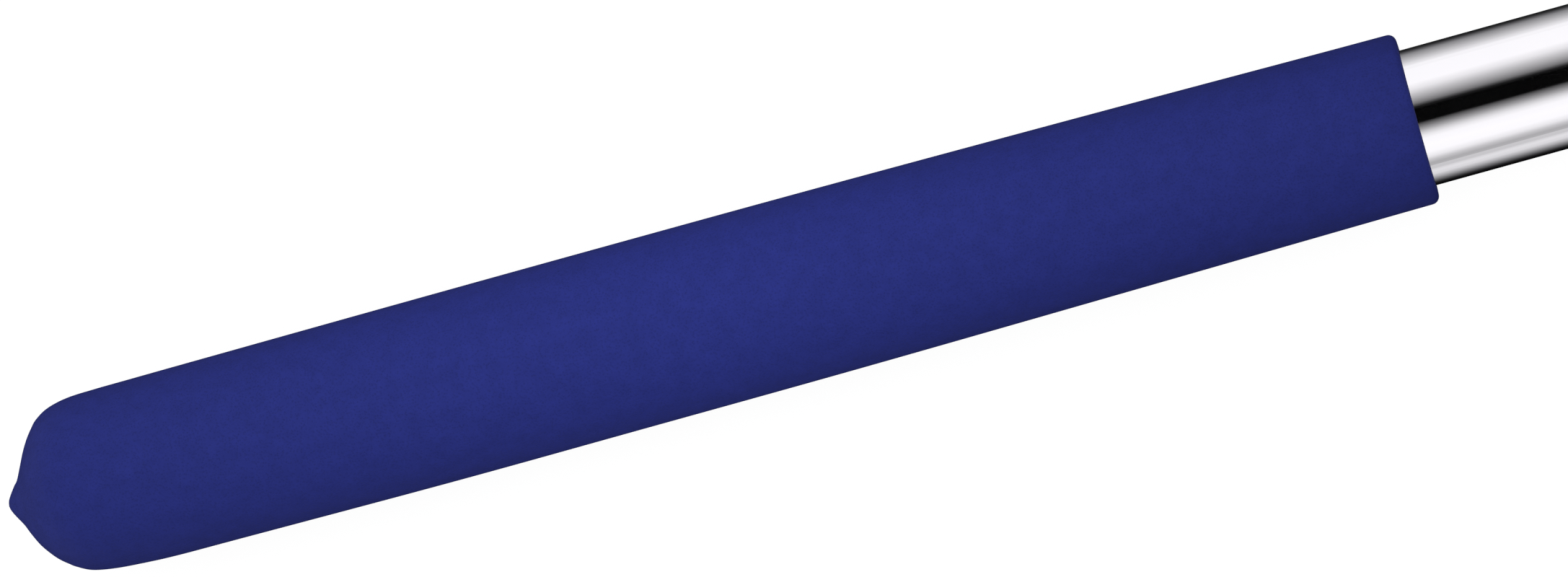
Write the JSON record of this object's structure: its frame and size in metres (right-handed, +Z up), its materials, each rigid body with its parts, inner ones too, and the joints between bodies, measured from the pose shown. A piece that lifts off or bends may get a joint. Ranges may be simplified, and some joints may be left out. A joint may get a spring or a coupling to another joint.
{
  "type": "golf ball retriever",
  "caption": "Telescoping metal pole with a foam grip, a spring-hinged scoop that holds a golf ball and folds back, and a sliding lock for it.",
  "frame": {"origin": "on the surface it lies on, under the middle of the closed object", "axes": "+X along the shaft from the butt of the grip to the front of the cup, +Z up out of the cup's mouth, Y across"},
  "size_m": [0.463, 0.0528, 0.0337],
  "materials": {
    "grip_foam": "matte",
    "tube_chrome": "polished",
    "nylon": "satin",
    "rubber_black": "matte",
    "bush_plastic": "satin",
    "pin_steel": "satin",
    "cup_plastic": "satin"
  },
  "bodies": {
    "handle": {"grip": "grip_foam", "handle_tube": "tube_chrome", "butt_plug": "nylon", "butt_bumper": "rubber_black", "mouth_ferrule": "nylon", "stop_ring": "rubber_black"},
    "slider": {"lock_slider": "nylon"},
    "section_2": {"tube_2": "tube_chrome", "friction_bush_2": "bush_plastic"},
    "section_3": {"tube_3": "tube_chrome", "friction_bush_3": "bush_plastic"},
    "section_4": {"tube_4": "tube_chrome", "friction_bush_4": "bush_plastic"},
    "section_5": {"tube_5": "tube_chrome", "friction_bush_5": "bush_plastic"},
    "section_6": {"tube_6": "tube_chrome", "friction_bush_6": "bush_plastic"},
    "section_7": {"tube_7": "tube_chrome", "friction_bush_7": "bush_plastic", "neck": "nylon", "neck_pin": "pin_steel", "hinge_pin": "pin_steel", "hinge_clip": "pin_steel", "hinge_spring": "pin_steel"},
    "cup": {"cup": "cup_plastic"}
  },
  "joints": [
    {"name": "extend_2", "type": "slide", "parent": "handle", "child": "section_2", "axis": [1, 0, 0], "range_m": [0, 0.2697]},
    {"name": "extend_3", "type": "slide", "parent": "section_2", "child": "section_3", "axis": [1, 0, 0], "range_m": [0, 0.2777]},
    {"name": "extend_4", "type": "slide", "parent": "section_3", "child": "section_4", "axis": [1, 0, 0], "range_m": [0, 0.2857]},
    {"name": "extend_5", "type": "slide", "parent": "section_4", "child": "section_5", "axis": [1, 0, 0], "range_m": [0, 0.2937]},
    {"name": "extend_6", "type": "slide", "parent": "section_5", "child": "section_6", "axis": [1, 0, 0], "range_m": [0, 0.3017]},
    {"name": "extend_7", "type": "slide", "parent": "section_6", "child": "section_7", "axis": [1, 0, 0], "range_m": [0, 0.3097]},
    {"name": "cup_hinge", "type": "hinge", "parent": "section_7", "child": "cup", "pos_m": [0.1665, 0, 0.0242], "axis": [0, -1, 0], "range_deg": [0, 180], "stiffness_Nm_per_rad": 0.035, "springref_deg": -68.75, "deforming": ["hinge_spring"]},
    {"name": "lock_slide", "type": "slide", "parent": "handle", "child": "slider", "axis": [1, 0, 0], "range_m": [0, 0.0065]}
  ]
}
